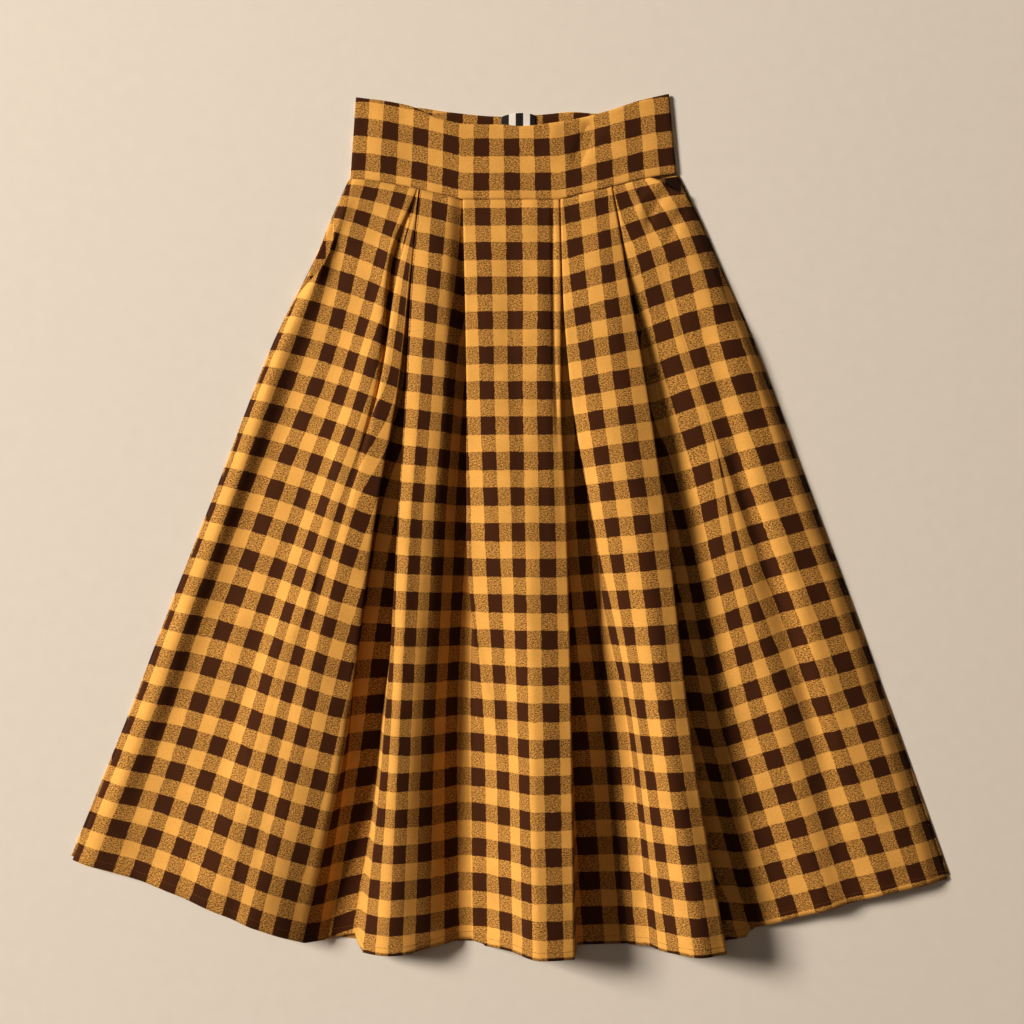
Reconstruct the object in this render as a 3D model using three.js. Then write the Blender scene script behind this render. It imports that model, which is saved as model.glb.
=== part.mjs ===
// Swing skirt of checked cotton, laid flat on its back with its front pleats standing up towards the
// hem. Millimetres. +X is the skirt's right as it is seen from above, +Y points to the waist and +Z
// up off the surface. The origin is the middle of the skirt's footprint, on the surface.
import * as THREE from "three";

// Driving dimensions
const FRONT_WALL = 1.0; // cloth of the front
const BACK_WALL = 1.2; // cloth of the back with its seam allowances
const BAND_BACK_WALL = 2.0; // doubled cloth of the back waistband
const BAND_FRONT_WALL = 2.4; // doubled and interfaced cloth of the front waistband
const FACING_WALL = 1.0; // pocket facings
const LABEL_WALL = 1.0;
const SEAM_GAP = 0.3; // pieces stand this far apart where they are sewn
const BAND_BACK_GAP = 0.5; // from the skirt to the back band, whose edge is straight between its corners
const SEAM_Y = 337.8; // waist seam on the centre line, before the origin is set
const ORIGIN = { x: -2.0, y: -9.4 }; // middle of the footprint in the drafting axes below
const CENTRE_BACK = 1.0; // x of the centre back seam
const ZIP = { halfWidth: 2.5, length: 200, wall: 1.2, belowTop: 3 };
const HEM = { leftOuter: 785, front: 806, valley: 800, rightOuter: 790, backShorter: 4 };
const SLIVER = 2.2; // the back shows this far outside the front along both sides
const TURN = 0.95; // radius of a folded edge, to the middle of the cloth
const ROWS = 20; // steps down the front
const ROW_SPREAD = 1.08; // above 1 the rows stand closer together near the waist
const BACK_STEPS = 14; // steps across half of the back
const MITRE = 1.45; // most that a wall's offset is lengthened at a corner
const BAND_LIFT = 2.2; // the front band stands this far off the back band between its sides
const SHADE = { mustard: 0xd9962f, brown: 0x4a2c28, black: 0x16130f };

// Distance below the waist seam, along the cloth, of the six levels that the tables give
const LEVELS = [0, 95, 207, 353, 586, 806];

// Lines that run from waist to hem over the front: x from the centre line, and z of the cloth's
// middle, at each level. Left and right are as seen from above.
const LINES = {
  side_left: { x: [-175, -203, -256, -311, -403, -476], z: [3.4, 3.4, 2.0, 2.0, 2.0, 2.0] },
  ridge_left: { x: [-168, -193, -243, -294, -382, -453], z: [5.2, 10, 12, 13, 13, 12] },
  trough_left: { x: [-157, -185, -222, -276, -362, -419], z: [5.8, 8, 6, 6, 8, 10] },
  face_left: { x: [-123, -147, -174, -223, -296, -360], z: [5.8, 12, 15, 17, 18, 22] },
  tuck_lip: { x: [-103.9, -133, -143.5, -185, -261, -306], z: [5.8, 17, 24, 33.5, 35.5, 35.5] },
  tuck: { x: [-102.9, -127.5, -140.5, -179, -254, -298], z: [5.8, 5.5, 18, 34, 36, 36] },
  brow_left: { x: [-101.8, -120, -136, -170, -218, -269], z: [5.8, 15, 26, 37, 43, 40] },
  edge_a: { x: [-100.6, -109, -120, -145, -178, -224], z: [5.8, 17, 26, 36, 40, 24] },
  recess_1: { x: [-100, -108.4, -117, -136, -158, -192], z: [2.0, 2.4, 3.5, 5, 9, 5] },
  edge_b: { x: [-99.3, -107.5, -112.5, -121, -135, -159], z: [5.8, 18, 28, 37, 40, 22] },
  top_b: { x: [-84, -91, -97, -107, -119, -131], z: [5.8, 20, 32, 42, 48, 38] },
  fall_b: { x: [-69, -71, -73, -83, -91, -100], z: [5.8, 17, 29, 37, 36, 30] },
  valley_2: { x: [-54.4, -52, -50, -52, -60, -56], z: [2.0, 3, 5, 7, 4, 3.4] },
  edge_c: { x: [-53, -50.6, -48.6, -48.5, -32, -28], z: [5.8, 14, 22, 24, 14, 8] },
  face_c: { x: [-24, -21.5, -19, -14, -4, 1], z: [5.8, 17, 27, 36, 34, 31] },
  top_c: { x: [17, 18, 19, 21, 25, 29], z: [5.8, 17, 28, 41, 57, 62] },
  edge_d: { x: [51.4, 52.7, 52.4, 58, 62.5, 65], z: [5.8, 15, 24, 36, 51, 56] },
  recess_3: { x: [52, 54, 58.5, 74, 86.5, 93], z: [2.0, 2.4, 4, 6, 6, 4] },
  edge_e: { x: [52.6, 54.8, 63, 86.5, 126, 148], z: [5.8, 14, 23, 26, 18, 16] },
  crease_e: { x: [63, 71, 85, 105, 140, 165], z: [5.8, 16, 28, 37, 42, 40] },
  top_e: { x: [87, 98, 113, 135, 165, 198], z: [5.8, 18, 30, 43, 57, 62] },
  edge_f: { x: [108.2, 123, 142, 163, 189, 225], z: [5.8, 15, 25, 36, 50, 52] },
  recess_4: { x: [109, 124.2, 148.5, 172, 203, 241], z: [2.0, 2.4, 3, 4, 5, 4] },
  edge_g: { x: [109.6, 125.4, 155, 187.5, 226, 265], z: [5.8, 10, 7, 7, 9, 7] },
  ridge_g: { x: [132, 155, 191, 236, 287, 337], z: [5.8, 11, 14, 17, 20, 19] },
  trough_g: { x: [145, 172, 205, 249, 316, 364], z: [5.8, 12, 16, 14, 15, 15] },
  ridge_h: { x: [158, 190, 226, 266, 339, 402], z: [5.8, 13, 17, 19, 19, 17] },
  brow_right: { x: [170, 203, 248, 299, 382, 450], z: [5.2, 10, 13, 13, 13, 12] },
  side_right: { x: [178, 213.5, 262, 316, 400, 472], z: [3.4, 3.4, 2.0, 2.0, 2.0, 2.0] },
};

// The front from left to right: five panels, and the pleat that follows each. A pleat's underlaps
// say how far the hidden cloth reaches behind the edge on each side of it, level by level. Where
// one is negative the fold has opened, and the cloth slopes down that far from the edge.
const PANELS = [
  {
    lines: [
      "side_left",
      "ridge_left",
      "trough_left",
      "face_left",
      "tuck_lip",
      "tuck",
      "brow_left",
      "edge_a",
    ],
    steps: 2,
  },
  { lines: ["edge_b", "top_b", "fall_b", "valley_2"], steps: 3 },
  { lines: ["edge_c", "face_c", "top_c", "edge_d"], steps: 3 },
  { lines: ["edge_e", "crease_e", "top_e", "edge_f"], steps: 3 },
  { lines: ["edge_g", "ridge_g", "trough_g", "ridge_h", "brow_right", "side_right"], steps: 2 },
];
const PLEATS = [
  {
    from: "edge_a",
    floor: "recess_1",
    to: "edge_b",
    left: [44, 40, 36, 18, -4, -22],
    right: [34, 34, 30, 12, -8, -9],
  },
  {
    from: "valley_2",
    floor: "valley_2",
    to: "edge_c",
    left: null,
    right: [44, 38, 23, 12, -14, -14],
  },
  {
    from: "edge_d",
    floor: "recess_3",
    to: "edge_e",
    left: [40, 38, 34, 7, -3, -6],
    right: [12, 13, 13, 4, -25, -22],
  },
  {
    from: "edge_f",
    floor: "recess_4",
    to: "edge_g",
    left: [38, 38, 30, 12, -3, -6],
    right: [20, 12, -3, -6, -10, -10],
  },
];

// How far a row of checks climbs towards the waist, level by level, at the two sides and where
// the outer panels begin. The middle panel's rows are level.
const CLIMB = {
  side_left: [23, 52, 55, 60, 55, 70],
  edge_b: [11, 12, 9, 5, 2, -3],
  edge_f: [14, 18, 16, 11, 4, 4],
  side_right: [28, 48, 50, 52, 56, 55],
};
const ARC = 1.18; // bend of a row on an outer panel, as the part of a sine wave that it follows
// How far the same row sags beside the pleat, level by level, as a share of its climb
const SAG = { left: [0, 0, 0, 0.17, 0.32, 0.5], right: [0, 0, 0, 0.16, 0.27, 0.27] };
const SAG_STARTS = 0.2; // the sag grows to its full size over this share of the way to the side

// Pocket mouths: the front's side edge stands in from the back's there
const LEFT_MOUTH = { at: 110, reach: 50, gape: 13, rise: 5 };
const RIGHT_MOUTH = { at: 14, reach: 40, bulge: -3, rise: 5, drop: 23, inward: 24 };
const FACINGS = { left: { from: 4, to: 164, width: 30 }, right: { from: 3, to: 78, width: 30 } };

// Top edges of the waistband's front and back
const FRONT_TOP = [
  { x: -169, y: 449.4 },
  { x: -111.5, y: 439.6 },
  { x: -78, y: 425.3 },
  { x: -43, y: 419.2 },
  { x: -10, y: 419.0 },
  { x: 9, y: 417.4 },
  { x: 40, y: 420.6 },
  { x: 77, y: 426.9 },
  { x: 106, y: 434.5 },
  { x: 135, y: 444.1 },
  { x: 170, y: 453.1 },
];
const BACK_TOP = [
  { x: -168.5, y: 447.5 },
  { x: -111.5, y: 439.2 },
  { x: -98, y: 438.0 },
  { x: -69.5, y: 433.7 },
  { x: -13, y: 428.8 },
  { x: 36, y: 431.2 },
  { x: 66, y: 433.9 },
  { x: 91, y: 432.0 },
  { x: 135, y: 441.0 },
  { x: 169.5, y: 450.5 },
];
const LABEL = { left: -12, right: 26, tall: 22, above: 2.4, arch: 2.6, rise: 1.2 };

const clamp = (value, low, high) => Math.min(high, Math.max(low, value));
const mix = (a, b, f) => a + (b - a) * f;
const smooth = (low, high, value) => THREE.MathUtils.smoothstep(value, low, high);

// Curve through rising stations that never overshoots its values
function through(stations, values, at) {
  const n = stations.length;
  const p = clamp(at, stations[0], stations[n - 1]);
  let i = 0;
  while (i < n - 2 && p > stations[i + 1]) i += 1;
  const slopes = [];
  for (let k = 0; k < n - 1; k += 1) {
    slopes.push((values[k + 1] - values[k]) / (stations[k + 1] - stations[k]));
  }
  const tangent = (k) => {
    if (k === 0) return slopes[0];
    if (k === n - 1) return slopes[n - 2];
    const product = slopes[k - 1] * slopes[k];
    return product <= 0 ? 0 : (2 * product) / (slopes[k - 1] + slopes[k]);
  };
  const step = stations[i + 1] - stations[i];
  const f = (p - stations[i]) / step;
  const g = 1 - f;
  return (
    values[i] * g * g * (1 + 2 * f) +
    values[i + 1] * f * f * (3 - 2 * f) +
    step * f * g * (tangent(i) * g - tangent(i + 1) * f)
  );
}

const level = (values, t) => through(LEVELS, values, t);
const lineX = (name, t) => level(LINES[name].x, t);
const lineZ = (name, t) => level(LINES[name].z, t);

// The tables end at the hem, so below the fifth level they are read by the part of the way to it
const LAST = LEVELS.length - 1;
function reading(t, hem) {
  const from = LEVELS[LAST - 1];
  return t <= from ? t : from + ((t - from) * (LEVELS[LAST] - from)) / (hem - from);
}

// y of a point on the row that lies t below the waist seam, where the tables are read at u
function rowY(x, t, u = t) {
  const middle = SEAM_Y - t;
  const side = x < 0 ? "left" : "right";
  const edge = lineX(side === "left" ? "edge_b" : "edge_f", u);
  const inner = lineX(side === "left" ? "edge_c" : "edge_d", u);
  const outer = lineX(side === "left" ? "side_left" : "side_right", u);
  const atEdge = level(side === "left" ? CLIMB.edge_b : CLIMB.edge_f, u);
  const atSide = level(side === "left" ? CLIMB.side_left : CLIMB.side_right, u);
  const out = (x - edge) / (outer - edge);
  if (out > 0) {
    const sag = level(SAG[side], u) * (1 - out) * smooth(0, SAG_STARTS, out);
    return middle + mix(atEdge, atSide, Math.sin(out * ARC) / Math.sin(ARC) - sag);
  }
  return middle + atEdge * clamp((x - inner) / (edge - inner), 0, 1);
}

// Points of one panel on the row at t, as a smooth curve over its lines
function panelPoints(panel, t) {
  const xs = panel.lines.map((name) => lineX(name, t));
  const zs = panel.lines.map((name) => lineZ(name, t));
  if (panel.lines[0] === "side_left") {
    const open = 1 - smooth(0, LEFT_MOUTH.reach, Math.abs(t - LEFT_MOUTH.at));
    xs[0] += LEFT_MOUTH.gape * open;
    zs[0] += LEFT_MOUTH.rise * open;
  }
  if (panel.lines[0] === "edge_g") {
    const open = 1 - smooth(0, RIGHT_MOUTH.reach, Math.abs(t - RIGHT_MOUTH.at));
    xs[xs.length - 1] += RIGHT_MOUTH.bulge * open;
    zs[zs.length - 1] += RIGHT_MOUTH.rise * open;
  }
  const points = [];
  for (let k = 0; k < xs.length - 1; k += 1) {
    for (let s = 0; s < panel.steps; s += 1) {
      const x = mix(xs[k], xs[k + 1], s / panel.steps);
      points.push({ x, z: through(xs, zs, x) });
    }
  }
  points.push({ x: xs[xs.length - 1], z: zs[zs.length - 1] });
  return points;
}

// One side of a pleat: the folded edge, then the hidden end of the underlap. side is -1 where
// the cloth turns back to the left and +1 where it turns back to the right.
function foldPoints(edge, floorZ, underlap, side) {
  const folded = smooth(-2, 4, underlap);
  const end = edge.x + side * underlap;
  const length = Math.hypot(end - edge.x, floorZ - edge.z);
  const down = { x: (end - edge.x) / length, z: (floorZ - edge.z) / length };
  const bend = (open, shut) => ({ x: mix(open.x, shut.x, folded), z: mix(open.z, shut.z, folded) });
  const along = (reach) => ({ x: edge.x + down.x * reach * TURN, z: edge.z + down.z * reach * TURN });
  // turns across and up from the underlap's end on the floor
  const beside = (across, up) => ({ x: end + side * across * TURN, z: floorZ + up * TURN });
  return [
    bend(along(1.2), { x: edge.x, z: edge.z - TURN }),
    bend(along(3), { x: edge.x + side * TURN, z: edge.z - 2 * TURN }),
    bend(beside(1.5, 3), beside(-1, 2)),
    bend(beside(0, 0.9), beside(0, 1)),
    bend(beside(-2, 0), beside(-1, 0)),
  ];
}

// The middle of the front's cloth on the row at t, from the left side to the right
function frontRow(t) {
  const row = [];
  PANELS.forEach((panel, index) => {
    const points = panelPoints(panel, t);
    const before = PLEATS[index - 1];
    const after = PLEATS[index];
    if (before) points[0].x += TURN * smooth(-2, 4, level(before.right, t));
    if (after && after.left) points[points.length - 1].x -= TURN * smooth(-2, 4, level(after.left, t));
    row.push(...points);
    if (!after) return;
    const floorZ = lineZ(after.floor, t);
    if (after.left) {
      const edge = { x: lineX(after.from, t), z: lineZ(after.from, t) };
      row.push(...foldPoints(edge, floorZ, level(after.left, t), -1));
      row.push({ x: lineX(after.floor, t), z: floorZ });
    }
    const edge = { x: lineX(after.to, t), z: lineZ(after.to, t) };
    row.push(...foldPoints(edge, floorZ, level(after.right, t), 1).reverse());
  });
  return row;
}

// Where each point of a row lies across the front, for the hem's length
function hemLengths() {
  const lengths = [];
  const hems = [HEM.leftOuter, HEM.front, HEM.front, HEM.front, HEM.rightOuter];
  PANELS.forEach((panel, index) => {
    const count = panelPoints(panel, 0).length;
    for (let k = 0; k < count; k += 1) {
      const nearValley = index === 1 ? smooth(0.4, 1, k / (count - 1)) : 0;
      lengths.push(mix(hems[index], HEM.valley, nearValley));
    }
    const pleat = PLEATS[index];
    if (!pleat) return;
    const folds = pleat.left ? 11 : 5;
    const first = lengths[lengths.length - 1];
    for (let k = 1; k <= folds; k += 1) {
      lengths.push(mix(first, hems[index + 1], smooth(0.45, 1, k / folds)));
    }
  });
  return lengths;
}

// Normal of a row's curve at a point, lengthened at corners so that the wall keeps its thickness
function wallOffset(row, i, half) {
  const side = (a, b) => {
    const dx = b.x - a.x;
    const dz = b.z - a.z;
    const length = Math.hypot(dx, dz) || 1;
    return { x: -dz / length, z: dx / length };
  };
  const before = side(row[Math.max(i - 1, 0)], row[Math.max(i, 1)]);
  const after = side(row[Math.min(i, row.length - 2)], row[Math.min(i + 1, row.length - 1)]);
  const sum = { x: before.x + after.x, z: before.z + after.z };
  const length = Math.hypot(sum.x, sum.z) || 1;
  const reach = (half * Math.min(2 / length, MITRE)) / length;
  return { x: sum.x * reach, z: sum.z * reach };
}

// Closed solid between an upper and a lower sheet of points, each an array of rows
function closedSheet(upper, lower) {
  const rows = upper.length;
  const columns = upper[0].length;
  const positions = [];
  for (const sheet of [upper, lower]) {
    for (const line of sheet) for (const p of line) positions.push(p.x, p.y, p.z);
  }
  const top = (i, j) => i * columns + j;
  const under = (i, j) => rows * columns + i * columns + j;
  const faces = [];
  const quad = (a, b, c, d) => faces.push(a, b, c, a, c, d);
  for (let i = 0; i < rows - 1; i += 1) {
    for (let j = 0; j < columns - 1; j += 1) {
      quad(top(i, j), top(i + 1, j), top(i + 1, j + 1), top(i, j + 1));
      quad(under(i, j), under(i, j + 1), under(i + 1, j + 1), under(i + 1, j));
    }
  }
  for (let i = 0; i < rows - 1; i += 1) {
    quad(top(i, 0), under(i, 0), under(i + 1, 0), top(i + 1, 0));
    const last = columns - 1;
    quad(top(i, last), top(i + 1, last), under(i + 1, last), under(i, last));
  }
  for (let j = 0; j < columns - 1; j += 1) {
    quad(top(0, j), top(0, j + 1), under(0, j + 1), under(0, j));
    const last = rows - 1;
    quad(top(last, j), under(last, j), under(last, j + 1), top(last, j + 1));
  }
  const geometry = new THREE.BufferGeometry();
  geometry.setAttribute("position", new THREE.Float32BufferAttribute(positions, 3));
  geometry.setIndex(faces);
  geometry.computeVertexNormals();
  return geometry;
}

function piece(name, geometry, color, roughness = 0.95) {
  const material = new THREE.MeshStandardMaterial({ color, roughness, metalness: 0 });
  const mesh = new THREE.Mesh(geometry, material);
  mesh.name = name;
  return mesh;
}

// The front: one pleated wall. Its top right corner stands off the waist seam at the pocket.
function skirtFront() {
  const hems = hemLengths();
  const upper = [];
  const lower = [];
  for (let j = 0; j <= ROWS; j += 1) {
    const topLine = [];
    const underLine = [];
    hems.forEach((hem, i) => {
      const probe = frontRow(0)[i].x;
      const corner = lineX("side_right", 0) - RIGHT_MOUTH.inward;
      const start = RIGHT_MOUTH.drop * smooth(corner, lineX("side_right", 0), probe);
      const t = mix(start, hem, (j / ROWS) ** ROW_SPREAD);
      const u = reading(t, hem);
      const row = frontRow(u);
      const offset = wallOffset(row, i, FRONT_WALL / 2);
      const y = rowY(row[i].x, t, u);
      topLine.push({ x: row[i].x + offset.x, y, z: row[i].z + offset.z });
      underLine.push({ x: row[i].x - offset.x, y, z: row[i].z - offset.z });
    });
    upper.push(topLine);
    lower.push(underLine);
  }
  return piece("skirt_front", closedSheet(upper, lower), SHADE.mustard);
}

// A flat piece between two edges, resting at height floor. Each row runs from inner to outer.
function flatPiece(name, rows, floor, wall, color) {
  const at = (z) => rows.map((row) => row.map((p) => ({ x: p.x, y: p.y, z: z(p) })));
  const rest = (p) => floor + (p.lift || 0);
  return piece(name, closedSheet(at((p) => rest(p) + wall), at(rest)), color);
}

// Half of the back, from the centre back seam to the side. side is -1 on the left. Its rows lie at
// the stations below the waist seam, and the last one on the hem.
function skirtBack(name, side) {
  const belowZip = ZIP.length + 4;
  const stations = [0, 40, 80, 120, 160, ZIP.length, belowZip, 260, 340, 430, 520, 610, 700, Infinity];
  const line = side < 0 ? "side_left" : "side_right";
  const sideHem = (side < 0 ? HEM.leftOuter : HEM.rightOuter) - HEM.backShorter;
  const shortens = side < 0 ? [0.32, 0.45] : [0.44, 0.58];
  const rows = stations.map((station) => {
    const zipRoom = station <= ZIP.length ? ZIP.halfWidth + SEAM_GAP : SEAM_GAP / 2;
    const row = [];
    for (let k = 0; k <= BACK_STEPS + 1; k += 1) {
      const part = Math.min(k / BACK_STEPS, 1);
      const hem = mix(HEM.front - HEM.backShorter, sideHem, smooth(...shortens, part));
      const t = Math.min(station, hem);
      const u = reading(t, hem);
      const inner = CENTRE_BACK + side * zipRoom;
      const x = mix(inner, lineX(line, u), part);
      row.push({ x: k > BACK_STEPS ? x + side * SLIVER : x, y: rowY(x, t, u) });
    }
    return side < 0 ? row.reverse() : row;
  });
  return flatPiece(name, rows, 0, BACK_WALL, SHADE.mustard);
}

const topY = (table, x) => through(table.map((p) => p.x), table.map((p) => p.y), x);

// The waistband's front: doubled cloth that curves down to the back band at both sides
function waistbandFront() {
  const across = 28;
  const up = 4;
  const upper = [];
  const lower = [];
  for (let j = 0; j <= up; j += 1) {
    const v = 1 - j / up;
    const topLine = [];
    const underLine = [];
    for (let k = 0; k <= across; k += 1) {
      const u = k / across;
      const foot = mix(lineX("side_left", 0), lineX("side_right", 0), u);
      const head = mix(FRONT_TOP[0].x, FRONT_TOP[FRONT_TOP.length - 1].x, u);
      const x = mix(foot, head, v);
      const y = mix(rowY(foot, 0) + SEAM_GAP, topY(FRONT_TOP, head), v);
      const inside = smooth(0, 0.09, u) * smooth(0, 0.09, 1 - u);
      const z = BAND_BACK_WALL + SEAM_GAP + BAND_LIFT * inside;
      underLine.push({ x, y, z });
      topLine.push({ x, y, z: z + BAND_FRONT_WALL });
    }
    upper.push(topLine);
    lower.push(underLine);
  }
  return piece("waistband_front", closedSheet(upper, lower), SHADE.mustard);
}

// Half of the waistband's back, flat on the surface below the front band
function waistbandBack(name, side) {
  const across = BACK_STEPS;
  const up = 3;
  const rows = [];
  const last = BACK_TOP.length - 1;
  for (let j = 0; j <= up; j += 1) {
    const v = 1 - j / up;
    const row = [];
    for (let k = 0; k <= across; k += 1) {
      const inner = CENTRE_BACK + side * (ZIP.halfWidth + SEAM_GAP);
      const foot = mix(inner, lineX(side < 0 ? "side_left" : "side_right", 0), k / across);
      const head = mix(inner, BACK_TOP[side < 0 ? 0 : last].x, k / across);
      const y = mix(rowY(foot, 0) + BAND_BACK_GAP, topY(BACK_TOP, head), v);
      row.push({ x: mix(foot, head, v), y });
    }
    rows.push(side < 0 ? row.reverse() : row);
  }
  return flatPiece(name, rows, 0, BAND_BACK_WALL, SHADE.brown);
}

// The concealed zip: closed tape between the two halves of the back, from the band down
function zip() {
  const top = topY(BACK_TOP, CENTRE_BACK) - ZIP.belowTop;
  const bottom = SEAM_Y - ZIP.length + SEAM_GAP;
  const steps = 6;
  const rows = [];
  for (let j = 0; j <= steps; j += 1) {
    const y = mix(top, bottom, j / steps);
    rows.push([-1, 1].map((side) => ({ x: CENTRE_BACK + side * ZIP.halfWidth, y })));
  }
  return flatPiece("zip", rows, 0, ZIP.wall, SHADE.brown);
}

// The facing that shows in a pocket's mouth, on the back inside the side seam
function pocketFacing(name, side) {
  const facing = side < 0 ? FACINGS.left : FACINGS.right;
  const rows = [];
  const steps = 8;
  for (let j = 0; j <= steps; j += 1) {
    const t = mix(facing.from, facing.to, j / steps);
    const outer = lineX(side < 0 ? "side_left" : "side_right", t) + side * (SLIVER - 1);
    const width = facing.width * (0.45 + 0.55 * Math.sin((Math.PI * (j + 1)) / (steps + 2)));
    const row = [];
    for (let k = 0; k <= 3; k += 1) {
      const x = outer - (side * width * k) / 3;
      row.push({ x, y: rowY(x, t) });
    }
    rows.push(side > 0 ? row.reverse() : row);
  }
  return flatPiece(name, rows, BACK_WALL + SEAM_GAP, FACING_WALL, SHADE.mustard);
}

// The label, unmarked, on the inside of the back band
function label() {
  const across = 8;
  const down = 3;
  const rows = [];
  for (let j = 0; j <= down; j += 1) {
    const row = [];
    for (let k = 0; k <= across; k += 1) {
      const u = k / across;
      const x = mix(LABEL.left, LABEL.right, u);
      const arch = LABEL.arch * Math.sin(Math.PI * u);
      const y = topY(BACK_TOP, x) + LABEL.above - LABEL.arch + arch - (LABEL.tall * j) / down;
      row.push({ x, y, lift: LABEL.rise * Math.sin(Math.PI * u) * (1 - j / down) });
    }
    rows.push(row);
  }
  return flatPiece("label", rows, BAND_BACK_WALL + SEAM_GAP, LABEL_WALL, SHADE.black);
}

const group = new THREE.Group();
group.add(
  skirtFront(),
  skirtBack("skirt_back_left", -1),
  skirtBack("skirt_back_right", 1),
  waistbandFront(),
  waistbandBack("waistband_back_left", -1),
  waistbandBack("waistband_back_right", 1),
  zip(),
  pocketFacing("pocket_left", -1),
  pocketFacing("pocket_right", 1),
  label(),
);
group.position.set(-ORIGIN.x, -ORIGIN.y, 0);

export default group;
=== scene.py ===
"""Swing skirt in a mustard and brown gingham, laid flat on its back.

Sizes are real ones in millimetres. The skirt lies in the same frame as its CAD solids: +X to the
right as it is seen from above, +Y towards the waist and +Z up off the surface.
"""
import math

import bpy
import numpy as np
from mathutils import Matrix, Vector, noise


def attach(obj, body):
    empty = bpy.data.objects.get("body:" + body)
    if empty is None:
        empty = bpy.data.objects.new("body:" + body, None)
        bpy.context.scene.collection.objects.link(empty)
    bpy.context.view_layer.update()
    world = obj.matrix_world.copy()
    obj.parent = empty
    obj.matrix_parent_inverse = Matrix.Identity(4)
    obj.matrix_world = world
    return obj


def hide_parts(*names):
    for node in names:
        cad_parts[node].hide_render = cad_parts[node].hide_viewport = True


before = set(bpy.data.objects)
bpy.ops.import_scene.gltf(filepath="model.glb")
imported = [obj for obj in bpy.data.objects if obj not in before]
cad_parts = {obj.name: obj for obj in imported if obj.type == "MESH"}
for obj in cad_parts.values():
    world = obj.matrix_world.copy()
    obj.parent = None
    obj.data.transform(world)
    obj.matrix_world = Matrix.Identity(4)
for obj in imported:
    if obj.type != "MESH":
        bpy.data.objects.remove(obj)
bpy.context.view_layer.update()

bl_info = {
    "name": "Gingham swing skirt",
    "version": (1, 0, 0),
    "blender": (4, 5, 0),
    "location": "View3D > Sidebar > Skirt",
    "description": "Makes a pleated gingham swing skirt laid flat, and the stage that it lies on",
    "category": "Add Mesh",
}

MM = 0.001
ORIGIN = (-2.0, -9.4)  # middle of the footprint, in the drafting axes of the tables below
SEAM_Y = 337.8  # waist seam on the centre line
SEAM_GAP = 0.3  # pieces stand this far apart where they are sewn
BAND_BACK_GAP = 0.5  # from the skirt up to the back band
CENTRE_BACK = 1.0  # x of the seam down the back
LEVELS = np.array([0.0, 95.0, 207.0, 353.0, 586.0, 806.0])  # below the waist seam, along the cloth
HEM = {"left_outer": 785.0, "front": 806.0, "valley": 800.0, "right_outer": 790.0, "back_shorter": 4.0}
TURN = 0.95  # radius of a folded edge
SLIVER = 2.2  # the back shows this far outside the front along both sides
BACK_WALL = 1.2  # cloth of the back with its seam allowances
BAND_BACK_WALL = 2.0
BAND_FRONT_WALL = 2.4
BAND_LIFT = 2.2  # the band's front stands this far clear of its back between the sides
FACING_WALL = 1.0
ZIP = {"length": 200.0, "half_width": 2.5, "wall": 0.85, "coil": 0.35, "below_top": 3.0}
LABEL = {"left": -12.0, "width": 38.0, "depth": 22.0, "wall": 0.9, "above": 2.4, "arch": 5.0}
CHECK_PART = 0.52
FIRST_WEFT = 19.0  # t at the middle of the first dark row
# Unevenness of cloth that was worn and folded: lift and size in mm, and a seed
SOFT_HAND = ((0.9, 46.0, 3.1), (0.45, 17.0, 8.4))
PUCKER = {"lift": 0.8, "reach": 16.0}  # along the waist seam
HEM_WAVE = {"lift": 0.9, "reach": 20.0}
STITCH_SHARE = 0.68  # length of a stitch against its pitch
STITCH_INSET = 1.5  # from the turned hem's upper edge down to its stitches
SIDES = ((-1, "left"), (1, "right"))

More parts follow.
